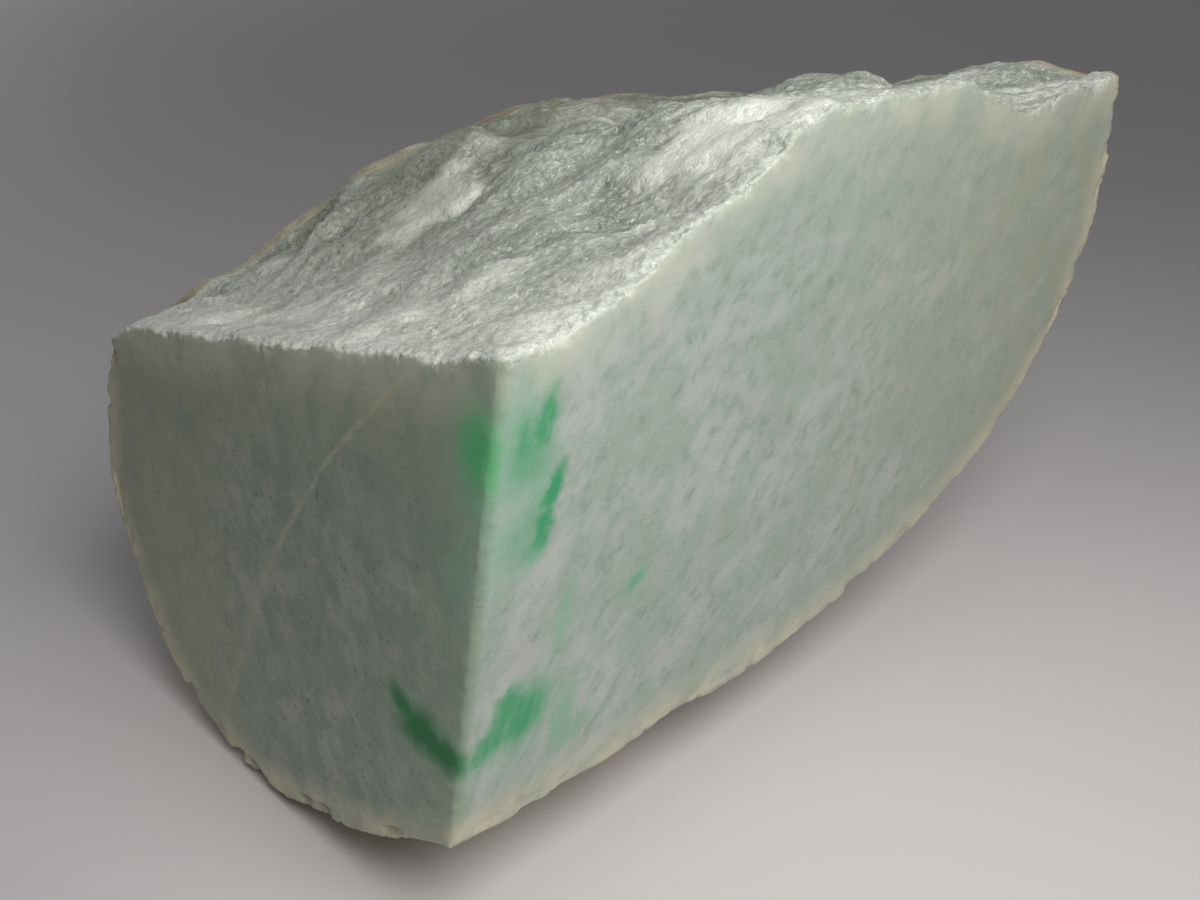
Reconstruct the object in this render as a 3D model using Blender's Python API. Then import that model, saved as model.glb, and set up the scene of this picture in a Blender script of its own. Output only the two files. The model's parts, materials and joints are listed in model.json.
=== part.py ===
"""A raw jade boulder: one quarter of a rounded river cobble.

Two saw cuts that meet at a right angle open its inside, the top broke away in ledges, and the
rest of it is the worn skin that the river left. It lies on the belly of that skin.

Lengths are in metres. The stone is shaped about its working corner, which is where the foot of
the edge between the two saw cuts stands above the table: +X runs along the long cut, +Y into
the stone and +Z up. At the end it is moved so that the middle of the foot of its bounding box is
the origin.
"""

from math import cos, floor, radians, sin

import bmesh
import bpy
from mathutils import Euler, Vector, noise

MM = 0.001

# The cobble, before it was cut: a long rounded body that lies tilted.
COBBLE_CENTRE = Vector((38, 11, 52)) * MM
COBBLE_HALF_SIZE = Vector((82, 74, 41)) * MM
COBBLE_TILT = Euler((radians(-32), radians(2), radians(4)))
COBBLE_SQUARENESS = 2.5  # 2 is an ellipsoid, and more is a fuller, squarer body
COBBLE_FACETING = 5  # how often the sphere that it starts from is divided
LUMP_HEIGHT, LUMP_LENGTH = 1.3 * MM, 24 * MM
DENT_HEIGHT, DENT_LENGTH = 0.5 * MM, 8 * MM

# The two saw cuts, which meet in the near edge.
CORNER_HEIGHT = 13.5 * MM
LONG_CUT_OVERHANG = radians(6.4)  # the long cut leans out over the table
END_CUT_LEAN = radians(4.6)  # the end cut leans back
NEAR_EDGE_WEAR = 1.0 * MM

# The worn flat on the belly that the stone lies on.
FOOT_HEIGHT = -1.5 * MM

# The break across the top: a ramp that climbs from the end cut and drops away behind.
BREAK_CORNER_HEIGHT = 67.3 * MM
BREAK_RISE, BREAK_RISE_END = 16.5 * MM, 56 * MM
BREAK_FALL, BREAK_FALL_END = 5.5 * MM, 118 * MM
BREAK_NEAR_SLOPE, BREAK_FAR_SLOPE = 0.235, 0.18  # how it drops along +Y, by the end cut and beyond
BREAK_STEP = 1.45 * MM  # the mesh's spacing

# Its fibrous grain: waves and flakes drawn out along one bearing, the flakes in low terraces.
GRAIN_BEARING = radians(-40)
GRAIN_STRETCH = 2.6
WAVE_HEIGHT, WAVE_LENGTH = 0.9 * MM, 10 * MM
FLAKE_HEIGHT, FLAKE_LENGTH = 1.5 * MM, 6 * MM
FLAKE_TERRACES = 4
FLAKE_RISER = 0.25

# Ledges of the break: the foot of the riser, the bearing that it climbs along, its length
# across that, its height, how far it takes to climb and how far to die away again.
LEDGES = (
    ("front facet", (34, 3), 10, 26, 2.2, 11, 12),
    ("pale facet", (25, 40), 42, 24, 2.8, 9, 18),
    ("ridge, left", (44, 36), 175, 26, 1.6, 3, 12),
    ("ridge, right", (57, 14), 235, 26, 1.0, 3, 8),
    ("left step, low", (15, 66), 30, 22, 1.8, 2, 14),
    ("left step, middle", (25, 62), 30, 22, 2.2, 3, 12),
    ("left step, high", (36, 58), 20, 18, 1.4, 3, 10),
    ("near step", (12, 14), 60, 16, 1.2, 2, 9),
    ("far step", (82, 30), 20, 34, 2.0, 4, 14),
    ("far shelf", (97, 34), 200, 30, 1.6, 4, 14),
)

# Hollows that flakes left in it, and rises between them: centre, half length along X, half
# width along Y and height.
SCOOPS = (
    ("notch in the long cut's edge", (88, -6), 11, 9, -2.6),
    ("hollow at the foot of the front facet", (31, 6), 4, 9, -1.6),
    ("hollow behind the ridge", (60, 20), 12, 13, -3.6),
    ("rear rise", (72, 50), 24, 14, 1.6),
    ("end rise", (110, 12), 11, 12, 3.4),
    ("rise by the end cut", (0, 32), 12, 26, 1.4),
    ("rise at the far corner", (1, 60), 12, 12, 2.2),
    ("hollow above the left steps", (27, 64), 9, 9, -2.2),
    ("dip behind the crest", (86, 39), 10, 10, -2.0),
    ("rise at the tip", (116, -1), 7, 8, 1.6),
)

JADE_COLOUR = (0.46, 0.52, 0.44, 1)
JADE_ROUGHNESS = 0.55


def clear_scene():
    for old in list(bpy.data.objects):
        bpy.data.objects.remove(old, do_unlink=True)


def eased(start, end, value):
    """0 before start, 1 after end, and a smooth climb between them."""
    share = min(max((value - start) / (end - start), 0), 1)
    return share * share * (3 - 2 * share)


def jade_material():
    material = bpy.data.materials.new("jade")
    material.use_nodes = True
    shader = material.node_tree.nodes["Principled BSDF"]
    shader.inputs["Base Color"].default_value = JADE_COLOUR
    shader.inputs["Roughness"].default_value = JADE_ROUGHNESS
    shader.inputs["Metallic"].default_value = 0
    return material


def cobble_reach(way):
    """How far the cobble's skin is from its centre, along a direction in its own frame."""
    power = COBBLE_SQUARENESS
    total = sum((abs(way[i]) / COBBLE_HALF_SIZE[i]) ** power for i in range(3))
    return total ** (-1 / power)


def cobble():
    """The whole cobble with its gentle lumps and dents."""
    body = bmesh.new()
    bmesh.ops.create_icosphere(body, subdivisions=COBBLE_FACETING, radius=1)
    turn = COBBLE_TILT.to_matrix()
    for vertex in body.verts:
        way = vertex.co.normalized()
        place = COBBLE_CENTRE + turn @ (way * cobble_reach(way))
        lumps = LUMP_HEIGHT * noise.fractal(place / LUMP_LENGTH, 0.7, 2.0, 3)
        dents = DENT_HEIGHT * noise.noise(place / DENT_LENGTH)
        vertex.co = place + (turn @ way) * (lumps + dents)
    return body


def cut_flat(body, point, outward):
    """Saw away what lies outward of a plane and close the stone with a flat face."""
    everything = body.verts[:] + body.edges[:] + body.faces[:]
    bmesh.ops.bisect_plane(body, geom=everything, plane_co=point, plane_no=outward,
                           clear_outer=True, dist=1e-7)
    open_edges = [edge for edge in body.edges if edge.is_boundary]
    bmesh.ops.holes_fill(body, edges=open_edges, sides=0)


def wear_near_edge(body, outward_a, outward_b):
    """Round the straight edge where the two saw cuts meet."""
    def faces_out(edge, way):
        return any(face.normal.dot(way) > 0.9999 for face in edge.link_faces)

    body.normal_update()
    near_edge = [e for e in body.edges if faces_out(e, outward_a) and faces_out(e, outward_b)]
    bmesh.ops.bevel(body, geom=near_edge, offset=NEAR_EDGE_WEAR, offset_type="OFFSET",
                    affect="EDGES", segments=3, profile=0.5, material=-1)


def share_between(start, end, value):
    """0 before start, 1 after end, and a straight climb with sharp ends between them."""
    return min(max((value - start) / (end - start), 0), 1)


def ledge_height(x, y, ledge):
    name, foot, bearing, length, rise, run, fall = ledge
    along = (x - foot[0]) * cos(radians(bearing)) + (y - foot[1]) * sin(radians(bearing))
    across = (y - foot[1]) * cos(radians(bearing)) - (x - foot[0]) * sin(radians(bearing))
    climb = share_between(0, run, along) * (1 - eased(run, run + fall, along))
    fade = 1 - eased(0.35 * length, 0.6 * length, abs(across))
    return rise * climb * fade


def scoop_height(x, y, scoop):
    name, centre, half_length, half_width, height = scoop
    reach = ((x - centre[0]) / half_length) ** 2 + ((y - centre[1]) / half_width) ** 2
    return height * (1 - eased(0, 1.6, reach))


def terraced(value):
    """A slope turned into level treads with steep risers."""
    tread = floor(value * FLAKE_TERRACES)
    into = value * FLAKE_TERRACES - tread
    return (tread + share_between(1 - FLAKE_RISER, 1, into)) / FLAKE_TERRACES


def grain_height(x, y):
    with_grain = x * cos(GRAIN_BEARING) + y * sin(GRAIN_BEARING)
    across_grain = y * cos(GRAIN_BEARING) - x * sin(GRAIN_BEARING)
    place = Vector((with_grain / GRAIN_STRETCH, across_grain, 0))
    waves = WAVE_HEIGHT * noise.fractal(place / WAVE_LENGTH, 0.8, 2.0, 2)
    flakes = FLAKE_HEIGHT * terraced(noise.fractal(place / FLAKE_LENGTH, 0.9, 2.0, 2))
    return waves + flakes


def break_height(x, y):
    """The height of the broken top, from a ramp, its ledges and hollows and its grain."""
    slope = BREAK_NEAR_SLOPE + (BREAK_FAR_SLOPE - BREAK_NEAR_SLOPE) * eased(5 * MM, 45 * MM, x)
    ramp = BREAK_CORNER_HEIGHT + BREAK_RISE * eased(0, BREAK_RISE_END, x)
    ramp -= BREAK_FALL * eased(BREAK_RISE_END, BREAK_FALL_END, x) + slope * (y + 7 * MM)
    steps = sum(ledge_height(x / MM, y / MM, ledge) for ledge in LEDGES)
    hollows = sum(scoop_height(x / MM, y / MM, scoop) for scoop in SCOOPS)
    return ramp + (steps + hollows) * MM + grain_height(x, y)


def broken_off_block():
    """What broke away above the stone: its underside is the broken top."""
    west, east, south, north, roof = -18 * MM, 142 * MM, -22 * MM, 92 * MM, 120 * MM
    columns = round((east - west) / BREAK_STEP)
    rows = round((north - south) / BREAK_STEP)
    block = bmesh.new()
    grid = []
    for row in range(rows + 1):
        y = south + (north - south) * row / rows
        xs = [west + (east - west) * column / columns for column in range(columns + 1)]
        grid.append([block.verts.new((x, y, break_height(x, y))) for x in xs])
    for row in range(rows):
        for column in range(columns):
            corners = (grid[row][column], grid[row][column + 1],
                       grid[row + 1][column + 1], grid[row + 1][column])
            block.faces.new(corners)
    rim = [edge for edge in block.edges if edge.is_boundary]
    walls = bmesh.ops.extrude_edge_only(block, edges=rim)["geom"]
    for part in walls:
        if isinstance(part, bmesh.types.BMVert):
            part.co.z = roof
    top_rim = [edge for edge in block.edges if edge.is_boundary]
    bmesh.ops.edgeloop_fill(block, edges=top_rim)
    bmesh.ops.triangulate(block, faces=block.faces[:])
    bmesh.ops.recalc_face_normals(block, faces=block.faces[:])
    return block


def as_object(body, name):
    mesh = bpy.data.meshes.new(name)
    body.to_mesh(mesh)
    body.free()
    thing = bpy.data.objects.new(name, mesh)
    bpy.context.scene.collection.objects.link(thing)
    return thing


def stand_on_origin(stone):
    """Take the finished shape and move it onto the origin by its bounding box's foot."""
    graph = bpy.context.evaluated_depsgraph_get()
    mesh = bpy.data.meshes.new_from_object(stone.evaluated_get(graph))
    stone.modifiers.clear()
    stone.data = mesh
    lows = [min(vertex.co[i] for vertex in mesh.vertices) for i in range(3)]
    highs = [max(vertex.co[i] for vertex in mesh.vertices) for i in range(3)]
    foot = Vector(((lows[0] + highs[0]) / 2, (lows[1] + highs[1]) / 2, lows[2]))
    for vertex in mesh.vertices:
        vertex.co -= foot


def jade_boulder():
    corner = Vector((0, 0, CORNER_HEIGHT))
    long_cut_out = Vector((0, -cos(LONG_CUT_OVERHANG), -sin(LONG_CUT_OVERHANG)))
    end_cut_out = Vector((-cos(END_CUT_LEAN), 0, sin(END_CUT_LEAN)))
    body = cobble()
    cut_flat(body, corner, long_cut_out)
    cut_flat(body, corner, end_cut_out)
    cut_flat(body, Vector((0, 0, FOOT_HEIGHT)), Vector((0, 0, -1)))
    wear_near_edge(body, long_cut_out, end_cut_out)
    stone = as_object(body, "jade_boulder")
    block = as_object(broken_off_block(), "broken_off_block")
    block.display_type = "WIRE"
    block.hide_render = True
    cut = stone.modifiers.new("break", "BOOLEAN")
    cut.operation = "DIFFERENCE"
    cut.solver = "EXACT"
    cut.object = block
    stand_on_origin(stone)
    bpy.data.objects.remove(block, do_unlink=True)
    stone.data.materials.clear()
    stone.data.materials.append(jade_material())
    stone.data.shade_smooth()
    stone.data.set_sharp_from_angle(angle=radians(35))
    return stone


clear_scene()
jade_boulder()
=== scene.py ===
import json
from math import cos, floor, hypot, radians, sin
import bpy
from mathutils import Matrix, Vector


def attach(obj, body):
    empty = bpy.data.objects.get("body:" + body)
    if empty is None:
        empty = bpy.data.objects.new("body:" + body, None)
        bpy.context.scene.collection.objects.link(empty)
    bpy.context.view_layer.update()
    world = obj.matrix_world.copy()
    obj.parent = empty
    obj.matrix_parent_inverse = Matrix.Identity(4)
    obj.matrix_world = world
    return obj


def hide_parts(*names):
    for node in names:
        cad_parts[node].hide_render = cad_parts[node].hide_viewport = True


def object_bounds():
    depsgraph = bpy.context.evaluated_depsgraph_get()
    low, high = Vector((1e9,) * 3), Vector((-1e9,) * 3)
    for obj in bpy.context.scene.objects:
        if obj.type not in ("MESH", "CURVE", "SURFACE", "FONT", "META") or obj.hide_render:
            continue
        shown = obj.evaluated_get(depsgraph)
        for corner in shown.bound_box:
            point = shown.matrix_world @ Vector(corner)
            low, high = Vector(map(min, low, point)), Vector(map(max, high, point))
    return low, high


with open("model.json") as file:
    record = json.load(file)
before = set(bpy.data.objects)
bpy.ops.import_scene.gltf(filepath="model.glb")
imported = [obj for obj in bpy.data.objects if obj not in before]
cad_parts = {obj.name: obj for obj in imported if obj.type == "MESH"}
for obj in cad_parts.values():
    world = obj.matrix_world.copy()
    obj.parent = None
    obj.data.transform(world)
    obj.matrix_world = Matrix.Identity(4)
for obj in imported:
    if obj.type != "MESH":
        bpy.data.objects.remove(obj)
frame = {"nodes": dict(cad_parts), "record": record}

from types import SimpleNamespace

import bmesh
import bpy
from mathutils import Euler, Matrix, Vector, geometry, kdtree, noise

cad_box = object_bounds()


# The table and its light. A plain pale top, wide enough to fill the view. One soft round lamp
# hangs close in front of the stone, so the table darkens with distance, and a broad weak one
# stands far behind. The camera looks down on the stone's near edge from close by.

MM = 0.001

mounts = {mount["name"]: mount for mount in frame["record"]["mounts"]}
long_face_point, long_face_out = (Vector(mounts["sawn_side"][key]) for key in ("pos_m", "axis"))
end_face_point, end_face_out = (Vector(mounts["sawn_end"][key]) for key in ("pos_m", "axis"))

# Places are given in millimetres from the table under the working corner, which is the foot of
# the edge where the two sawn faces meet: along the long face, into the stone, and up.
CORNER_HEIGHT = 15 * MM
faces_and_level = Matrix((long_face_out, end_face_out, (0, 0, 1)))
under_corner = faces_and_level.inverted() @ Vector((
    long_face_point.dot(long_face_out), end_face_point.dot(end_face_out), CORNER_HEIGHT))
under_corner.z = 0


def from_corner(along, inward, up):
    return under_corner + Vector((along, inward, up)) * MM


TABLE_WIDTH = 6.0
TABLE_COLOUR, TABLE_ROUGHNESS = (0.775, 0.735, 0.73, 1), 0.6

LENS, SENSOR, NEAREST_SEEN = 36, 36, 5 * MM
CAMERA_PLACE = from_corner(-55, -76.6, 106.2)
CAMERA_AZIMUTH, CAMERA_PITCH = radians(-45), radians(26)

LAMP_PLACE, LAMP_AIM = from_corner(3, -104, 180), from_corner(60, 36, 30)
LAMP_WIDTH, LAMP_POWER = 140 * MM, 0.315
BACK_LAMP_PLACE, BACK_LAMP_AIM = from_corner(300, 2300, 700), from_corner(40, 30, 40)
BACK_LAMP_WIDTH, BACK_LAMP_POWER = 1200 * MM, 4.2
FILL_COLOUR, FILL_STRENGTH = (0.96, 0.98, 1.0, 1), 0.125


def aimed(place, target):
    """A matrix that stands an object at a place, looking down its -Z axis at a target."""
    turn = (target - place).to_track_quat("-Z", "Y").to_matrix().to_4x4()
    return Matrix.Translation(place) @ turn


def plain_table():
    body = bmesh.new()
    bmesh.ops.create_grid(body, x_segments=1, y_segments=1, size=TABLE_WIDTH / 2)
    mesh = bpy.data.meshes.new("table")
    body.to_mesh(mesh)
    body.free()
    table = bpy.data.objects.new("table", mesh)
    bpy.context.scene.collection.objects.link(table)
    material = bpy.data.materials.new("plain table")
    material.use_nodes = True
    shader = material.node_tree.nodes["Principled BSDF"]
    shader.inputs["Base Color"].default_value = TABLE_COLOUR
    shader.inputs["Roughness"].default_value = TABLE_ROUGHNESS
    mesh.materials.append(material)


def soft_lamp(name, place, target, width, power):
    light = bpy.data.lights.new(name, "AREA")
    light.shape, light.size, light.energy = "DISK", width, power
    lamp = bpy.data.objects.new(name, light)
    lamp.matrix_world = aimed(place, target)
    bpy.context.scene.collection.objects.link(lamp)


def camera_and_room():
    scene = bpy.context.scene
    scene.view_settings.view_transform = "Standard"
    lens = bpy.data.cameras.new("camera")
    lens.lens, lens.sensor_width, lens.clip_start = LENS, SENSOR, NEAREST_SEEN
    camera = bpy.data.objects.new("camera", lens)
    ahead = Vector((-sin(CAMERA_AZIMUTH) * cos(CAMERA_PITCH),
                    cos(CAMERA_AZIMUTH) * cos(CAMERA_PITCH), -sin(CAMERA_PITCH)))
    camera.matrix_world = aimed(CAMERA_PLACE, CAMERA_PLACE + ahead)
    scene.collection.objects.link(camera)
    scene.camera = camera

    world = bpy.data.worlds.new("room")
    world.use_nodes = True
    fill = world.node_tree.nodes["Background"]
    fill.inputs["Color"].default_value = FILL_COLOUR
    fill.inputs["Strength"].default_value = FILL_STRENGTH
    scene.world = world


plain_table()
camera_and_room()
soft_lamp("front lamp", LAMP_PLACE, LAMP_AIM, LAMP_WIDTH, LAMP_POWER)
soft_lamp("back lamp", BACK_LAMP_PLACE, BACK_LAMP_AIM, BACK_LAMP_WIDTH, BACK_LAMP_POWER)


# The boulder. One piece of jade, a quarter of a river cobble: two saw cuts meet in the near
# edge, the top broke away in silky flakes, and a worn skin closes the rest. The jade is a pale
# grey-green felt of fine crystals, stained emerald beside the near edge and beige at the skin.

# Its form is the solid's, on a fine even grid, with the fine surface worked into it.
GRID = 0.42 * MM
SAME_PLACE = 0.0001 * MM
SMOOTHING_PASSES, SMOOTHING = 10, 0.5
FINISHED_TRIANGLES = 192_000

# The cobble that the skin belongs to. From the first depth to the second, skin turns to break.
COBBLE_CENTRE = from_corner(38, 11, 53.5)
COBBLE_HALF_SIZE = Vector((82, 74, 41)) * MM
COBBLE_TILT = Euler((radians(-32), radians(2), radians(4)))
COBBLE_SQUARENESS, LEAST_REACH = 2.5, 0.01
SKIN_DEPTHS = 1.52 * MM, 2.66 * MM

SWELL_HEIGHT, SWELL_LENGTH = 0.30 * MM, 7 * MM
GRAIN_HEIGHT, GRAIN_LENGTH = 0.10 * MM, 1.8 * MM
PIT_DEPTH, PIT_SPACING, PIT_SLOPE, PIT_FIELD_LENGTH = 0.5 * MM, 4.5 * MM, (0.08, 0.36), 14 * MM

# The break's grain, and how high, long and drawn out along it each kind of flake is.
GRAIN_BEARING = radians(-40)
BEND_HEIGHT, BEND_LENGTH = 2.0 * MM, 10 * MM
SHEET_HEIGHT, SHEET_LENGTH, SHEET_STRETCH = 0.50 * MM, 2.6 * MM, 3.6
SHEET_TREADS, SHEET_RISER = 4, 0.22
SCALE_HEIGHT, SCALE_LENGTH, SCALE_STRETCH = 0.30 * MM, 1.1 * MM, 3.2
SCALE_ROWS, SCALE_DROP = 2.5, 0.2
FIBRE_HEIGHT, FIBRE_LENGTH, FIBRE_STRETCH = 0.12 * MM, 0.62 * MM, 4.0
CRYSTAL_HEIGHT, CRYSTAL_LENGTH = 0.10 * MM, 0.8 * MM
CALM_LENGTH, CALM_SCALES = 9 * MM, 0.55
RIM_DEPTHS, RIM_FLAKES, RIM_CRYSTALS = (0.5 * MM, 5 * MM), 0.3, 2.5

# The creases where one flake's foot meets the next, by points along them seen from above.
CREASES = (
    ((32, 42), (34, 38), (38, 34), (38, 27), (43, 22), (45, 17)),
    ((28, 36), (30, 33), (33, 31), (36, 33)),
    ((34, 12), (35, 7), (37, 0), (39, -7)),
    ((38, 13), (42, 6), (44, 1), (45, -4)),
)
CREASE_DEPTH, CREASE_HALF_WIDTH = 0.6 * MM, 1.3 * MM
CREASE_WANDER_LENGTHS, CREASE_FADE_LENGTH, CREASE_FAINTEST = (4 * MM, 3 * MM), 5 * MM, 0.4

# The cleanly parted facets of the break: how clean each is, and its corners seen from above.
FACETS = (
    (1.1, ((34, 9), (43, 9), (49, 6), (50, 1), (47, -7), (38, -5), (36, 0))),
    (1.0, ((24, 41), (27, 41), (34, 39), (35, 32), (31, 31), (26, 36))),
)
FACET_EDGE, FACET_FLAKES, FACET_FIBRES = (-1.8 * MM, 2.4 * MM), 0.4, 1.0
RAGGED_HEIGHT, RAGGED_LENGTH, RAGGED_STRETCH = 2.8 * MM, 2 * MM, 2.5

# A healed fissure, which stands up from the break as a fine ridge: an arc seen from above that
# fades out towards each sawn face.
FISSURE_CENTRE, FISSURE_RADIUS = from_corner(8.15, 1.19, 0), 8.88 * MM
FISSURE_HEIGHT, FISSURE_CREST, FISSURE_HALF_WIDTH = 0.35 * MM, 0.09 * MM, 0.45 * MM
FISSURE_TO_LONG_FACE, FISSURE_TO_END_FACE = (-6 * MM, 0.0), (-10 * MM, -4 * MM)

# The rims where the break and the skin meet the sawn faces: they crumble, chip and round over.
CRUMB_DEPTH, CRUMB_LENGTH, CRUMBLY_DEPTHS = 0.38 * MM, 1.0 * MM, (0.4 * MM, 1.6 * MM)
LONG_FACE_CHIP, END_FACE_CHIP, CHIP_LENGTH = 0.35 * MM, 0.85 * MM, 3.4 * MM
NICK_DEPTH, NICK_LENGTH = 0.18 * MM, 1.2 * MM
CHIPPED_DEPTHS, CHIPPED_SKIN, BESIDE_LONG_FACE = (0.3 * MM, 1.8 * MM), 1.2 * MM, 2 * MM
ROUNDED_DEPTH, ROUNDED_FACING = 0.8 * MM, (0.75, 0.985)
FOOT_BLEND = 1.0 * MM

SAWN_FACES = ((long_face_point, long_face_out), (end_face_point, end_face_out))
untilt = COBBLE_TILT.to_matrix().transposed()


def eased(start, end, value):
    """0 before start, 1 after end, and a smooth climb between them."""
    share = min(max((value - start) / (end - start), 0), 1)
    return share * share * (3 - 2 * share)


def mixed(low, high, share):
    """The low value at a share of 0, the high one at 1, and a straight climb between them."""
    return low + (high - low) * share


def two_scales(place, fading=0.9, finer=2.1):
    """Noise of two scales, the second so many times finer than the first."""
    return noise.fractal(place, fading, finer, 2)


def depth_under(place, point, outward):
    return (point - place).dot(outward)


def depth_under_flats(place):
    return min(depth_under(place, point, outward) for point, outward in SAWN_FACES)


def depth_under_skin(place):
    """How deep a place lies in the cobble, measured towards its centre."""
    inward = untilt @ (place - COBBLE_CENTRE)
    shares = (abs(inward[i]) / COBBLE_HALF_SIZE[i] for i in range(3))
    reach = sum(share ** COBBLE_SQUARENESS for share in shares) ** (1 / COBBLE_SQUARENESS)
    return (1 / max(reach, LEAST_REACH) - 1) * inward.length


def inside_facet(place, corners):
    """How far inside a facet's outline a place is, in metres, and below 0 outside it."""
    x, y = (place.x - under_corner.x) / MM, (place.y - under_corner.y) / MM
    sides = zip(corners, corners[1:] + corners[:1])
    return MM * min(((y - ay) * (bx - ax) - (x - ax) * (by - ay)) / -hypot(bx - ax, by - ay)
                    for (ax, ay), (bx, by) in sides)


def crease_depth(place):
    """How deep a place lies in the nearest crease."""
    seen = Vector((place.x - under_corner.x, place.y - under_corner.y)) / MM
    seen += Vector([noise.noise(place / length) for length in CREASE_WANDER_LENGTHS])
    nearest = 1.0
    for points in CREASES:
        for start, end in zip(points, points[1:]):
            share = geometry.intersect_point_line(seen, start, end)[1]
            on_line = Vector(start).lerp(Vector(end), min(max(share, 0), 1))
            nearest = min(nearest, (seen - on_line).length * MM / CREASE_HALF_WIDTH)
    strength = eased(-0.3, 0.2, noise.noise(place / CREASE_FADE_LENGTH))
    return CREASE_DEPTH * (1 - eased(0.1, 1.0, nearest)) * mixed(CREASE_FAINTEST, 1, strength)


def fissure_ridge(place):
    along, inward = place.x - FISSURE_CENTRE.x, place.y - FISSURE_CENTRE.y
    off = abs(hypot(along, inward) - FISSURE_RADIUS)
    strength = eased(*FISSURE_TO_LONG_FACE, inward) * eased(*FISSURE_TO_END_FACE, along)
    return FISSURE_HEIGHT * (1 - eased(FISSURE_CREST, FISSURE_HALF_WIDTH, off)) * strength


def terraced(value, treads, riser, tilt=0.25):
    """A slope turned into tilted treads with steep risers between them."""
    tread = floor(value * treads)
    into = value * treads - tread
    return (tread + mixed(min(max((into - 1 + riser) / riser, 0), 1), into, tilt)) / treads


def shingled(value, rows, drop):
    """A slope turned into overlapping scales: each climbs slowly and ends in a short drop."""
    into = value * rows - floor(value * rows)
    return min(into / (1 - drop), (1 - into) / drop)


def broken_surface(place):
    """How far the break stands out at a place, and how cleanly it parted there."""
    bend = BEND_HEIGHT * noise.noise(place / BEND_LENGTH)
    along = place.x * cos(GRAIN_BEARING) + place.y * sin(GRAIN_BEARING)
    across = place.y * cos(GRAIN_BEARING) - place.x * sin(GRAIN_BEARING) + bend

    def drawn_out(length, stretch):
        far = length * stretch
        return Vector((along / far, across / length, place.z / far))

    ragged = RAGGED_HEIGHT * two_scales(drawn_out(RAGGED_LENGTH, RAGGED_STRETCH))
    facet = max(clean * eased(*FACET_EDGE, inside_facet(place, corners) + ragged)
                for clean, corners in FACETS)
    sheets = terraced(two_scales(drawn_out(SHEET_LENGTH, SHEET_STRETCH)), SHEET_TREADS, SHEET_RISER)
    scales = shingled(noise.noise(drawn_out(SCALE_LENGTH, SCALE_STRETCH)), SCALE_ROWS, SCALE_DROP)
    fibres = noise.noise(drawn_out(FIBRE_LENGTH, FIBRE_STRETCH))
    crystals = noise.noise(place / CRYSTAL_LENGTH)

    calm = eased(-0.35, 0.25, noise.noise(place / CALM_LENGTH))
    rim = eased(*RIM_DEPTHS, depth_under_flats(place))
    flakes = SHEET_HEIGHT * sheets + SCALE_HEIGHT * (scales - 0.5) * mixed(CALM_SCALES, 1, calm)
    out = flakes * mixed(1, FACET_FLAKES, facet) * mixed(RIM_FLAKES, 1, rim)
    out += FIBRE_HEIGHT * fibres * mixed(1, FACET_FIBRES, facet)
    out += CRYSTAL_HEIGHT * crystals * mixed(RIM_CRYSTALS, 1, rim)
    return out - crease_depth(place), facet


def skin_surface(place):
    """How far the worn skin stands out, with its pits and its fine grain."""
    swell = SWELL_HEIGHT * noise.noise(place / SWELL_LENGTH)
    grain = GRAIN_HEIGHT * two_scales(place / GRAIN_LENGTH, finer=2.0)
    from_pit = noise.voronoi(place / PIT_SPACING)[0][0]
    pitted = eased(-0.1, 0.35, noise.noise(place / PIT_FIELD_LENGTH))
    return swell + grain - PIT_DEPTH * (1 - eased(*PIT_SLOPE, from_pit)) * pitted


def crumbled_away(place):
    """How deep the break crumbles beside a sawn face."""
    near_rim = 1 - eased(*CRUMBLY_DEPTHS, depth_under_flats(place))
    if near_rim == 0:
        return 0
    crumbs = eased(-0.1, 0.4, two_scales(place / CRUMB_LENGTH, 0.8, 2.2))
    return CRUMB_DEPTH * crumbs * near_rim


def chipped_away(place, under_skin):
    """How deep the skin is chipped and nicked beside a sawn face."""
    off_rim = depth_under_flats(place) + max(under_skin - CHIPPED_SKIN, 0)
    near_rim = 1 - eased(*CHIPPED_DEPTHS, off_rim)
    if near_rim == 0:
        return 0
    chips = eased(0.12, 0.5, noise.noise(place / CHIP_LENGTH))
    nicks = eased(0.1, 0.6, noise.noise(place / NICK_LENGTH))
    beside_long = depth_under(place, long_face_point, long_face_out) < BESIDE_LONG_FACE
    deepest = LONG_FACE_CHIP if beside_long else END_FACE_CHIP
    return (deepest * chips + NICK_DEPTH * nicks) * near_rim


def clear_of_flats(vertex):
    """0 on a sawn face or the foot, 1 away from them, and between them where a rim rounds over."""
    facing = hypot(*(vertex.normal.dot(outward) for point, outward in SAWN_FACES
                     if depth_under(vertex.co, point, outward) < ROUNDED_DEPTH))
    return eased(0.0, FOOT_BLEND, vertex.co.z) * (1 - eased(*ROUNDED_FACING, facing))


def kept_behind_flats(place):
    """A place, brought back to a sawn face where it stands proud of one."""
    for point, outward in SAWN_FACES:
        place = place + outward * min(depth_under(place, point, outward), 0)
    return place


def apply_modifiers(thing):
    graph = bpy.context.evaluated_depsgraph_get()
    mesh = bpy.data.meshes.new_from_object(thing.evaluated_get(graph))
    thing.modifiers.clear()
    thing.data = mesh


def fine_stone():
    """A copy of the solid, its triangles merged, on a fine even grid."""
    body = bmesh.new()
    body.from_mesh(frame["nodes"]["jade_boulder"].data)
    bmesh.ops.remove_doubles(body, verts=body.verts[:], dist=SAME_PLACE)
    mesh = bpy.data.meshes.new("jade_stone")
    body.to_mesh(mesh)
    body.free()
    stone = bpy.data.objects.new("jade_stone", mesh)
    bpy.context.scene.collection.objects.link(stone)
    remesh = stone.modifiers.new("fine grid", "REMESH")
    remesh.mode = "VOXEL"
    remesh.voxel_size = GRID
    apply_modifiers(stone)
    return stone


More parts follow.
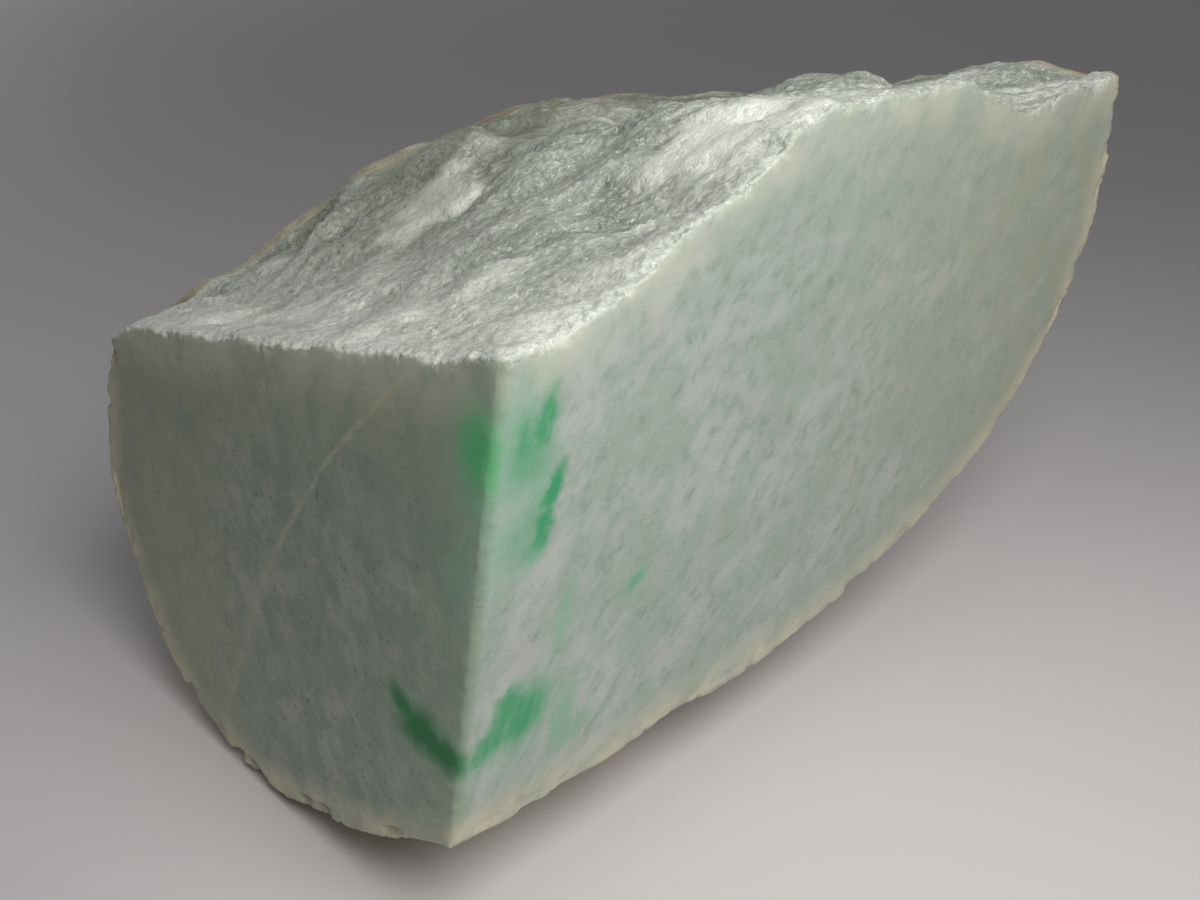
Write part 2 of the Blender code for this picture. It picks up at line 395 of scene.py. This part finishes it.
def smooth_away_facets(body):
    """Soften the solid's facets, and leave its sawn faces and its foot as they are."""
    on_a_flat = 0.1 * GRID
    curved = [v for v in body.verts if min(depth_under_flats(v.co), v.co.z) > on_a_flat]
    for _ in range(SMOOTHING_PASSES):
        bmesh.ops.smooth_vert(body, verts=curved, factor=SMOOTHING,
                              use_axis_x=True, use_axis_y=True, use_axis_z=True)


def work_surface(stone):
    """Move each point out to the fine surface, and leave on it what the colours go by."""
    low, high = (Vector(corner) for corner in cad_box)
    body = bmesh.new()
    body.from_mesh(stone.data)
    smooth_away_facets(body)
    body.normal_update()
    broken_layer, skin_layer, facet_layer, relief_layer, depth_layer = (
        body.verts.layers.float.new(name)
        for name in ("broken", "skin", "facet", "relief", "under_skin"))
    moved = []
    for vertex in body.verts:
        place = vertex.co
        under_skin = depth_under_skin(place)
        on_skin = 1 - eased(*SKIN_DEPTHS, under_skin)
        clear = clear_of_flats(vertex)
        out = facet = 0
        if clear > 0 and on_skin < 1:
            broken, facet = broken_surface(place)
            out += (1 - on_skin) * (broken + fissure_ridge(place) - crumbled_away(place))
            vertex[relief_layer] = broken / MM
        if clear > 0 and on_skin > 0:
            out += on_skin * skin_surface(place)
        vertex[broken_layer] = (1 - on_skin) * clear
        vertex[skin_layer] = on_skin * clear
        vertex[facet_layer] = facet
        vertex[depth_layer] = under_skin / MM
        out = out * clear - on_skin * chipped_away(place, under_skin)
        moved.append(kept_behind_flats(place + vertex.normal * out))
    for vertex, place in zip(body.verts, moved):
        vertex.co = [min(max(place[i], low[i]), high[i]) for i in range(3)]
    measure_from_break(body, broken_layer)
    bmesh.ops.triangulate(body, faces=body.faces[:])
    body.to_mesh(stone.data)
    body.free()


def measure_from_break(body, broken_layer):
    """Leave on each point how far the break is from it, in millimetres."""
    layer = body.verts.layers.float.new("from_break")
    on_break = [vertex.co for vertex in body.verts if vertex[broken_layer] > 0.5]
    one_in_four = on_break[::4]
    tree = kdtree.KDTree(len(one_in_four))
    for index, place in enumerate(one_in_four):
        tree.insert(place, index)
    tree.balance()
    for vertex in body.verts:
        vertex[layer] = tree.find(vertex.co)[2] / MM


def thin_out(stone):
    """Merge faces where the stone is flat, down to the number that it may have.

    The merging weighs how far the surface would move, which it can only tell apart in
    millimetres. The group's low weight makes long edges cost more, so none gets very long.
    """
    low_weight, length_cost = 0.01, 0.004
    stone.data.transform(Matrix.Scale(1 / MM, 4))
    everywhere = stone.vertex_groups.new(name="everywhere")
    everywhere.add(range(len(stone.data.vertices)), low_weight, "REPLACE")
    thin = stone.modifiers.new("thin out", "DECIMATE")
    thin.vertex_group = everywhere.name
    thin.vertex_group_factor = length_cost
    thin.ratio = FINISHED_TRIANGLES / len(stone.data.polygons)
    apply_modifiers(stone)
    stone.data.transform(Matrix.Scale(MM, 4))


# Its colours, as they were mixed for the inside, the break and the skin.

def paint(red, green, blue):
    """A colour from its 0 to 255 display values."""
    return tuple((value / 255) ** 2.2 for value in (red, green, blue)) + (1,)


SAWN_PALE, SAWN_GREENISH = paint(185, 192, 184), paint(160, 177, 162)
SAWN_LILAC, SAWN_SPECK = paint(186, 184, 178), paint(132, 151, 136)
# On the end face the multiply tint is painted shade, and its olive and green are partly painted light.
SAWN_WARM, END_FACE_SHADE = paint(174, 178, 154), paint(236, 236, 230)
END_FACE_OLIVE_AND_GLOW, END_FACE_BLEED_GREEN = paint(174, 175, 144), paint(148, 170, 142)
END_FACE_BLOT, END_FACE_DOT = paint(147, 166, 156), paint(112, 130, 118)
MINT, EMERALD = paint(136, 184, 154), paint(58, 160, 106)
DEEP, GLOWING = paint(10, 122, 64), paint(92, 190, 122)
VEIN, RIND, CREAM_AND_GLOW = paint(200, 196, 168), paint(212, 204, 178), paint(208, 209, 190)
# On the break the hollow grey is painted shade, and the white, the facet white and the rear colour are
# partly painted highlight, sheen and shade.
BREAK_BASE, BREAK_WHITE_AND_HIGHLIGHT = paint(171, 177, 163), paint(221, 224, 213)
BREAK_HOLLOW_SHADE, BREAK_FACET_AND_SHEEN = paint(136, 142, 127), paint(240, 242, 230)
BREAK_REAR_SHADE_AND_OLIVE = paint(128, 131, 112)
SKIN_BEIGE, SKIN_BROWN = paint(180, 173, 149), paint(130, 122, 94)
SKIN_GREEN, SKIN_WHITE = paint(152, 158, 138), paint(207, 203, 188)

# The inside is mottled along one slanting foliation, the greens lean with their streaks, and
# the break's silk follows its grain.
FOLIATION_ACROSS, FOLIATION_STRETCH = Vector((0.68, 0.27, -0.68)).normalized(), 1.55
GREEN_LEAN, GREEN_STRETCH = radians(14), 4
SILK_STRETCH = 4

# How far across each kind of blotch is, in millimetres.
DRIFT, LILAC_CLOUD, MOTTLE, SPECK, FELT = 9.0, 6.5, 2.5, 1.2, 0.42
UNEVENNESS, BLOT, DOT, GREEN_FIBRE, VEIN_GAP, SAW_GRAIN = 7.0, 4.0, 0.9, 0.7, 1.6, 0.22
SILK_FIBRE, SUGAR, CRUMB = 0.26, 0.7, 0.9
WEATHERING, LICHEN, PORE = 11.0, 5.0, 0.8

# Where each zone begins and where it is full, in millimetres: under the break, the skin or a
# sawn face, or along, inward and up from the working corner.
CREAM_AND_GLOW_UNDER_BREAK, RIND_UNDER_SKIN = (7.0, 0.5), (6.5, 1.2)
WARM_ALONG, UP_COUNTS = (55.0, 135.0), 0.35
ON_END_FACE, DEEP_ALONG = (1.6, 0.2), (3.0, 1.0)
# The olive under the break and the green at the long face are partly painted light on the end face.
OLIVE_AND_GLOW_UNDER_BREAK, OLIVE_INWARD, BLEED_GREEN_AT_LONG_FACE = (18.0, 2.0), (34.0, 56.0), (16.0, 1.0)
WHITER_ALONG, GLINTS_INWARD = (30.0, 6.0), (34.0, 18.0)
CRUMBLY_AT_LONG_FACE, CRUMBLY_AT_END_FACE, VERY_RIM = (11.0, 0.5), (7.0, 1.0), (0.2, 2.2)
REAR_INWARD, REAR_ALONG = (28.0, 43.0), (16.0, 42.0)
CRUMBS_OVER_RIM = 1.5, 0.2

# The cream vein: an arc on the end face, given by its circle there.
VEIN_CENTRE, VEIN_RADIUS = (0.0, -75.45, -32.64), 127.61
VEIN_UP, VEIN_HALF_WIDTHS, VEIN_STRENGTHS = (22.0, 50.0), (1.9, 0.5), (0.3, 0.7)

# Its finish: the roughness from the low to the high of each part's own grain, and its bumps in
# millimetres. The sugar's middle brings the mean height of the break's bumps to about 0.
SAWN_ROUGHNESS, SILK_ROUGHNESS, SKIN_ROUGHNESS = (0.44, 0.52), (0.46, 0.34), (0.7, 0.56)
SAWN_BUMP, SILK_BUMP, SUGAR_BUMP, SUGAR_MIDDLE, SKIN_BUMP = 0.03, 0.24, 0.18, 1.2, 0.25
GLOW_SHARE, GLOW_RADIUS, GLOW_REACH = 0.3, (0.7, 1.0, 0.6), 2.0 * MM


def on_long_face(along, up, lean, half_width, half_length, softness, strength=1.0):
    """A patch that shows on the long face: its middle, and its lean from upright in degrees."""
    inward = -(up - CORNER_HEIGHT / MM) * long_face_out.z / long_face_out.y
    half_size = (half_width, 3.0, half_length)
    return (along, inward, up), (0, radians(lean), 0), half_size, softness, strength


def on_end_face(inward, up, lean, half_width, half_length, softness, strength=1.0):
    """A patch that shows on the end face: its middle, and its lean inward from upright."""
    along = -(up - CORNER_HEIGHT / MM) * end_face_out.z / end_face_out.x
    half_size = (1.6, half_width, half_length)
    return (along, inward, up), (-radians(lean), 0, 0), half_size, softness, strength


MINT_WASHES = (
    on_long_face(6.4, 60.0, 8, 5.6, 12.5, 0.95, 0.9),
    on_long_face(5.8, 50.5, 12, 4.8, 8.0, 0.95, 0.75),
    on_long_face(9.0, 48.6, 30, 2.4, 4.6, 0.9, 0.85),
    on_long_face(9.4, 56.0, 14, 3.4, 9.0, 0.9, 0.75),
    on_long_face(24.5, 38.0, 58, 2.0, 4.4, 0.9, 0.75),
    on_long_face(8.5, 28.0, 40, 7.0, 8.0, 0.9, 0.9),
    on_long_face(14.6, 24.4, 15, 2.6, 7.0, 0.8, 0.8),
    on_long_face(13.8, 38.4, 12, 2.0, 7.5, 0.9, 0.7),
    on_long_face(16.4, 21.6, 60, 2.4, 5.0, 0.9, 0.7),
    on_end_face(-2.2, 58.0, 0, 5.0, 12.5, 0.9, 0.8),
    on_end_face(-0.8, 47.5, -8, 3.4, 10.0, 0.9, 0.6),
    on_end_face(4.4, 27.4, 75, 4.0, 9.0, 0.9, 0.7),
)
EMERALD_STREAKS = (
    on_long_face(9.6, 62.4, 12, 1.9, 6.0, 0.8, 0.95),
    on_long_face(8.2, 60.2, 8, 3.8, 6.6, 0.9, 0.6),
    on_long_face(8.8, 51.0, 14, 3.4, 6.0, 0.9, 0.45),
    on_long_face(7.2, 60.8, 5, 1.7, 4.4, 0.9, 0.8),
    on_long_face(11.1, 54.5, 24, 1.5, 4.2, 0.7),
    on_long_face(10.1, 50.8, 14, 2.0, 4.2, 0.8),
    on_long_face(24.5, 38.0, 58, 1.2, 2.6, 0.9, 0.4),
    on_long_face(9.0, 28.2, 42, 4.4, 5.2, 0.75, 0.95),
    on_long_face(6.6, 30.0, 25, 2.6, 4.6, 0.7, 0.9),
    on_long_face(4.4, 26.6, 60, 2.8, 5.2, 0.8, 0.9),
)
DEEP_GREENS = (
    on_end_face(8.2, 28.4, 44, 2.6, 4.6, 0.85, 0.95),
    on_end_face(5.4, 26.9, 100, 4.2, 6.0, 0.8),
    on_end_face(3.6, 26.5, 95, 3.6, 4.0, 0.8),
    on_end_face(1.4, 26.2, 90, 3.4, 5.2, 0.8),
)
# Painted glow: bright green on the end face by the top of the near edge, where light comes through the
# emerald.
GLOWING_GREENS = (
    on_end_face(-3.1, 60.6, 0, 4.2, 7.0, 0.9),
)


def feed(tree, socket, value):
    if isinstance(value, bpy.types.NodeSocket):
        tree.links.new(value, socket)
    elif value is not None:
        socket.default_value = value


def fed(tree, kind, *values, **settings):
    """A new node with its settings, and its sockets fed in their order: None skips one."""
    made = tree.nodes.new(kind)
    for name, value in settings.items():
        setattr(made, name, value)
    for socket, value in zip(made.inputs, values):
        feed(tree, socket, value)
    return made


def worked(tree, operation, *values):
    return fed(tree, "ShaderNodeMath", *values, operation=operation).outputs[0]


def vector_work(tree, operation, *values):
    return fed(tree, "ShaderNodeVectorMath", *values, operation=operation).outputs


def times(tree, *values):
    total = values[0]
    for value in values[1:]:
        total = worked(tree, "MULTIPLY", total, value)
    return total


def rise(tree, value, start, end, low=0.0, high=1.0):
    """The low value before start, the high one after end, and a smooth climb between them."""
    return fed(tree, "ShaderNodeMapRange", value, start, end, low, high,
               interpolation_type="SMOOTHSTEP").outputs[0]


def clouds(tree, place, length, detail=2.0, roughness=0.5):
    """Noise from 0 to 1 whose blotches are about a length across."""
    return fed(tree, "ShaderNodeTexNoise", place, None, 1 / length, detail, roughness).outputs[0]


def tinted(tree, under, colour, share, blend_type="MIX"):
    """A colour laid over another by a share from 0 to 1."""
    made = fed(tree, "ShaderNodeMix", share, data_type="RGBA", blend_type=blend_type)
    feed(tree, made.inputs[6], under)
    feed(tree, made.inputs[7], colour)
    return made.outputs[2]


def washed(tree, under, colour, mask, start, end, most=1.0):
    """A colour laid over another where a mask climbs from start to end, up to a greatest share."""
    return tinted(tree, under, colour, rise(tree, mask, start, end, 0.0, most))


def blended(tree, share, low, high):
    """The low value at a share of 0 and the high one at 1."""
    return fed(tree, "ShaderNodeMix", share, None, low, high).outputs[0]


def measured(tree, name):
    """What the shaping left on each point of the stone, such as its depth under the skin."""
    return fed(tree, "ShaderNodeAttribute", attribute_name=name).outputs["Fac"]


def laid_along(tree, place, middle=None, turn=None, size=None):
    """Places seen from a patch's own middle, in its own directions and measured by its size."""
    return fed(tree, "ShaderNodeMapping", place, middle, turn, size, vector_type="TEXTURE").outputs[0]


def stirred(tree, place, length, reach, detail=0.0):
    """Places pushed about by noise, by up to about a reach."""
    push = fed(tree, "ShaderNodeTexNoise", place, None, 1 / length, detail, 0.6).outputs["Color"]
    push = vector_work(tree, "SUBTRACT", push, (0.5, 0.5, 0.5))[0]
    return vector_work(tree, "MULTIPLY_ADD", push, (2 * reach, 2 * reach, 2 * reach), place)[0]


def depth_from(tree, place, point, outward):
    """How many millimetres each place lies under a sawn face."""
    level = (point - under_corner).dot(outward) / MM
    along = vector_work(tree, "DOT_PRODUCT", place, tuple(outward))["Value"]
    return worked(tree, "SUBTRACT", level, along)


def patch_group():
    """A soft-edged oval body of colour in the stone."""
    tree = bpy.data.node_groups.new("patch", "ShaderNodeTree")
    for name, kind in (("Place", "Vector"), ("Middle", "Vector"), ("Turn", "Vector"),
                       ("Half size", "Vector"), ("Softness", "Float")):
        tree.interface.new_socket(name, in_out="INPUT", socket_type="NodeSocket" + kind)
    tree.interface.new_socket("Mask", in_out="OUTPUT", socket_type="NodeSocketFloat")
    given = tree.nodes.new("NodeGroupInput").outputs
    inside = laid_along(tree, *given[:4])
    far = vector_work(tree, "LENGTH", inside)["Value"]
    mask = rise(tree, far, 1.0, worked(tree, "SUBTRACT", 1.0, given["Softness"]))
    fed(tree, "NodeGroupOutput", mask)
    return tree


PATCH = patch_group()


def patches(tree, place, spots):
    """The strongest of several patches at each place."""
    total = 0.0
    for middle, turn, half_size, softness, strength in spots:
        one = fed(tree, "ShaderNodeGroup", node_tree=PATCH)
        for name, value in (("Place", place), ("Middle", middle), ("Turn", turn),
                            ("Half size", half_size), ("Softness", softness)):
            feed(tree, one.inputs[name], value)
        total = worked(tree, "MAXIMUM", times(tree, one.outputs[0], strength), total)
    return total


def found_on(tree):
    """Each point's place from the working corner, its depths, and how uneven the colours are."""
    where = tree.nodes.new("ShaderNodeTexCoord").outputs["Object"]
    place = laid_along(tree, where, under_corner, None, (MM, MM, MM))
    along, inward, up = fed(tree, "ShaderNodeSeparateXYZ", place).outputs
    patchy = clouds(tree, place, UNEVENNESS, 3.0, 0.6)
    from_end = depth_from(tree, place, end_face_point, end_face_out)
    return SimpleNamespace(
        place=place, along=along, inward=inward, up=up, from_end=from_end,
        from_long=depth_from(tree, place, long_face_point, long_face_out),
        on_end=rise(tree, from_end, *ON_END_FACE),
        under_skin=measured(tree, "under_skin"), from_break=measured(tree, "from_break"),
        patchy=patchy, uneven=rise(tree, patchy, 0.38, 0.62, 0.4, 1.0))


def mottled(tree, place):
    """A soft mottle of pale, greenish and lilac grey along the foliation."""
    turn = Vector((0, 0, 1)).rotation_difference(FOLIATION_ACROSS).to_euler()
    foliated = laid_along(tree, stirred(tree, place, 6.0, 1.2, 1.0), None, turn,
                          (FOLIATION_STRETCH, FOLIATION_STRETCH, 1.0))
    drifts = clouds(tree, foliated, DRIFT, 3.0, 0.6)
    lilac = clouds(tree, stirred(tree, place, 5.0, 1.5), LILAC_CLOUD)
    mottles = clouds(tree, foliated, MOTTLE, 5.0, 0.65)
    specks = clouds(tree, foliated, SPECK, 3.0, 0.6)
    felt = clouds(tree, foliated, FELT, 2.0, 0.7)
    colour = washed(tree, SAWN_PALE, SAWN_GREENISH, drifts, 0.40, 0.62, most=0.8)
    colour = washed(tree, colour, SAWN_LILAC, lilac, 0.52, 0.68, most=0.55)
    colour = washed(tree, colour, SAWN_GREENISH, mottles, 0.36, 0.70)
    speckled = times(tree, rise(tree, mottles, 0.36, 0.66), rise(tree, specks, 0.42, 0.76, 0.0, 0.75))
    colour = tinted(tree, colour, SAWN_SPECK, speckled)
    return washed(tree, colour, SAWN_PALE, felt, 0.50, 0.72, most=0.5)


def end_face_tinted(tree, colour, at):
    """The end face: blue-green blots, dark dots, painted shade over all of it, olive under the break
    and greener at the near edge, both partly painted light.
    """
    blots = clouds(tree, stirred(tree, at.place, 2.4, 0.9), BLOT, 4.0, 0.62)
    dots = clouds(tree, at.place, DOT, 1.0, 0.5)
    olive = worked(tree, "MAXIMUM", rise(tree, at.from_break, *OLIVE_AND_GLOW_UNDER_BREAK, 0.0, 0.6),
                   rise(tree, at.inward, *OLIVE_INWARD, 0.0, 0.7))
    greener = rise(tree, at.from_long, *BLEED_GREEN_AT_LONG_FACE, 0.0, 0.75)
    for tint, share in ((END_FACE_BLOT, rise(tree, blots, 0.43, 0.62, 0.0, 0.8)),
                        (END_FACE_DOT, rise(tree, dots, 0.62, 0.76, 0.0, 0.6))):
        colour = tinted(tree, colour, tint, times(tree, at.on_end, share))
    # Painted shade: the whole end face is darkened and warmed a little, as it turns away from the lamp.
    colour = tinted(tree, colour, END_FACE_SHADE, at.on_end, "MULTIPLY")
    # Olive under the break and far inward: partly the stone's own olive, partly a painted tint of light
    # passing through the top rim. Greener and darker towards the near edge: painted shade there, with
    # the green of light bleeding through the edge.
    for tint, share in ((END_FACE_OLIVE_AND_GLOW, olive), (END_FACE_BLEED_GREEN, greener)):
        colour = tinted(tree, colour, tint, times(tree, at.on_end, at.uneven, share))
    return colour


def greened(tree, colour, at):
    """The mint and emerald stains, frayed along their streaks, and a painted glow of bright green over
    the emerald at the top of the near edge on the end face.
    """
    frayed = stirred(tree, at.place, 1.5, 1.1, 2.0)
    flowing = stirred(tree, at.place, 2.4, 0.6, 1.0)
    streaked = laid_along(tree, at.place, None, (0, GREEN_LEAN, 0), (1, 1, GREEN_STRETCH))
    veiled = rise(tree, clouds(tree, streaked, GREEN_FIBRE, 2.0, 0.6), 0.36, 0.60, 0.80, 1.0)
    emerald = times(tree, patches(tree, frayed, EMERALD_STREAKS), veiled)
    deep = times(tree, patches(tree, flowing, DEEP_GREENS), rise(tree, at.along, *DEEP_ALONG))
    colour = tinted(tree, colour, MINT, patches(tree, frayed, MINT_WASHES))
    colour = tinted(tree, colour, EMERALD, emerald)
    colour = tinted(tree, colour, DEEP, deep)
    # Painted glow over the emerald at the near edge.
    return tinted(tree, colour, GLOWING, patches(tree, frayed, GLOWING_GREENS))


def veined(tree, colour, at):
    """The cream vein across the end face: thin above and spreading out below."""
    shaken = stirred(tree, at.place, 3.5, 0.7, 1.0)
    flat = vector_work(tree, "MULTIPLY", shaken, (0, 1, 1))[0]
    far = vector_work(tree, "DISTANCE", flat, VEIN_CENTRE)["Value"]
    off = worked(tree, "ABSOLUTE", worked(tree, "SUBTRACT", far, VEIN_RADIUS))
    half_width = rise(tree, at.up, *VEIN_UP, *VEIN_HALF_WIDTHS)
    broken_up = rise(tree, clouds(tree, at.place, VEIN_GAP, 2.0, 0.6), 0.3, 0.6, 0.35, 1.0)
    strength = times(tree, rise(tree, at.up, *VEIN_UP, *VEIN_STRENGTHS), at.on_end, broken_up)
    share = worked(tree, "SUBTRACT", 1.0, worked(tree, "DIVIDE", off, half_width))
    return tinted(tree, colour, VEIN, times(tree, worked(tree, "MAXIMUM", share, 0.0), strength))


def sawn_inside(tree, at):
    """The sawn stone: mottled, warmer far along, stained, cream towards the break, partly a painted
    glow, and beige towards the skin; the end face has painted shade and glow of its own.
    """
    colour = mottled(tree, at.place)
    far_along = worked(tree, "ADD", at.along, times(tree, at.up, UP_COUNTS))
    warmth = times(tree, rise(tree, far_along, *WARM_ALONG, 0.0, 0.8), at.uneven)
    colour = tinted(tree, colour, SAWN_WARM, warmth)
    colour = end_face_tinted(tree, colour, at)
    colour = greened(tree, colour, at)
    # Cream towards the break: partly a weathered pale zone, partly a painted glow of light passing
    # through the thin rim.
    for tint, share in ((CREAM_AND_GLOW, rise(tree, at.from_break, *CREAM_AND_GLOW_UNDER_BREAK, 0.0, 0.7)),
                        (RIND, rise(tree, at.under_skin, *RIND_UNDER_SKIN, 0.0, 0.9))):
        colour = tinted(tree, colour, tint, times(tree, share, at.uneven))
    return veined(tree, colour, at)


def broken_top(tree, at, fibres, sugar):
    """The break: painted highlight on its raised scales and silk, painted shade in its hollows and
    grooves, white rims, facets partly whitened by painted sheen, painted glints, and darker at the
    rear, partly painted shade.
    """
    relief = measured(tree, "relief")
    whiter = times(tree, rise(tree, at.along, *WHITER_ALONG, 0.0, 0.9), at.uneven)
    parted = times(tree, measured(tree, "facet"), rise(tree, sugar, 0.3, 0.6, 0.85, 1.0))
    crumbly = worked(tree, "MAXIMUM", rise(tree, at.from_long, *CRUMBLY_AT_LONG_FACE),
                     rise(tree, at.from_end, *CRUMBLY_AT_END_FACE, 0.0, 0.45))
    crumbly = times(tree, crumbly, rise(tree, at.from_long, *VERY_RIM, 0.35, 1.0),
                    rise(tree, sugar, 0.42, 0.58, 0.35, 0.9))
    rear = times(tree, rise(tree, at.inward, *REAR_INWARD, 0.0, 0.95),
                 rise(tree, at.along, *REAR_ALONG), at.uneven)
    glints = times(tree, rise(tree, sugar, 0.60, 0.70, 0.0, 0.8), rise(tree, at.inward, *GLINTS_INWARD))

    # Painted shade in the hollows of the relief, and a painted highlight on its raised flakes.
    colour = washed(tree, BREAK_BASE, BREAK_HOLLOW_SHADE, relief, 0.05, -0.40, most=0.85)
    colour = washed(tree, colour, BREAK_WHITE_AND_HIGHLIGHT, relief, 0.0, 0.42, most=0.75)
    colour = tinted(tree, colour, BREAK_WHITE_AND_HIGHLIGHT, whiter)
    # The clean facets whiten: partly their own sugary white, partly a painted sheen.
    colour = tinted(tree, colour, BREAK_FACET_AND_SHEEN, parted)
    colour = tinted(tree, colour, BREAK_WHITE_AND_HIGHLIGHT, crumbly)
    # Painted sheen on the raised silk fibres, and painted shade in the grooves between them.
    colour = washed(tree, colour, BREAK_WHITE_AND_HIGHLIGHT, fibres, 0.49, 0.65, most=0.7)
    colour = washed(tree, colour, BREAK_HOLLOW_SHADE, fibres, 0.46, 0.33, most=0.5)
    # Darker and yellower at the rear: partly an olive tone of the stone, partly painted shade behind
    # the crest.
    colour = tinted(tree, colour, BREAK_REAR_SHADE_AND_OLIVE, rear)
    # Painted glints on the sugary grain.
    return tinted(tree, colour, BREAK_FACET_AND_SHEEN, glints)


def worn_skin(tree, at, pores):
    """The skin: beige, weathered brown and green, with pale blotches and dark pores."""
    weathered = clouds(tree, at.place, WEATHERING, 4.0, 0.62)
    lichen = clouds(tree, stirred(tree, at.place, 4.0, 2.0), LICHEN, 3.0, 0.6)
    colour = washed(tree, SKIN_BEIGE, SKIN_BROWN, weathered, 0.46, 0.74, most=0.9)
    colour = washed(tree, colour, SKIN_GREEN, weathered, 0.48, 0.32, most=0.7)
    colour = washed(tree, colour, SKIN_WHITE, lichen, 0.56, 0.70, most=0.7)
    return washed(tree, colour, SKIN_BROWN, pores, 0.42, 0.28, most=0.6)


def jade_material():
    material = bpy.data.materials.new("jade")
    material.use_nodes = True
    tree = material.node_tree
    shader = tree.nodes["Principled BSDF"]
    at = found_on(tree)

    grain = laid_along(tree, stirred(tree, at.place, 7.0, 1.2), None, (0, 0, GRAIN_BEARING),
                       (SILK_STRETCH, 1, SILK_STRETCH))
    fibres = clouds(tree, grain, SILK_FIBRE, 3.0, 0.75)
    sugar = clouds(tree, at.place, SUGAR, 2.0, 0.7)
    pores = clouds(tree, at.place, PORE, 3.0, 0.7)
    crumbs = times(tree, rise(tree, at.from_break, *CRUMBS_OVER_RIM),
                   rise(tree, clouds(tree, at.place, CRUMB, 3.0, 0.7), 0.46, 0.60))
    on_break = worked(tree, "MAXIMUM", rise(tree, measured(tree, "broken"), 0.25, 0.75), crumbs)
    on_skin = rise(tree, measured(tree, "skin"), 0.25, 0.75)

    colour = tinted(tree, sawn_inside(tree, at), broken_top(tree, at, fibres, sugar), on_break)
    colour = tinted(tree, colour, worn_skin(tree, at, pores), on_skin)
    feed(tree, shader.inputs["Base Color"], colour)

    rough = blended(tree, on_break, rise(tree, at.patchy, 0.3, 0.7, *SAWN_ROUGHNESS),
                    rise(tree, fibres, 0.35, 0.65, *SILK_ROUGHNESS))
    rough = blended(tree, on_skin, rough, rise(tree, pores, 0.3, 0.6, *SKIN_ROUGHNESS))
    feed(tree, shader.inputs["Roughness"], rough)

    matte = times(tree, clouds(tree, at.place, SAW_GRAIN, 1.0, 0.6), SAWN_BUMP)
    silky = worked(tree, "ADD", times(tree, fibres, SILK_BUMP),
                   times(tree, worked(tree, "SUBTRACT", sugar, SUGAR_MIDDLE), SUGAR_BUMP))
    worn = times(tree, worked(tree, "SUBTRACT", pores, 0.5), SKIN_BUMP)
    height = blended(tree, on_skin, blended(tree, on_break, matte, silky), worn)
    bump = fed(tree, "ShaderNodeBump", 1.0, MM)
    feed(tree, bump.inputs["Height"], height)
    feed(tree, shader.inputs["Normal"], bump.outputs[0])

    shader.inputs["Subsurface Weight"].default_value = GLOW_SHARE
    shader.inputs["Subsurface Radius"].default_value = GLOW_RADIUS
    shader.inputs["Subsurface Scale"].default_value = GLOW_REACH
    return material


stone = fine_stone()
work_surface(stone)
thin_out(stone)
stone.data.shade_smooth()
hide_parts("jade_boulder")
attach(stone, "root")
stone.data.materials.clear()
stone.data.materials.append(jade_material())
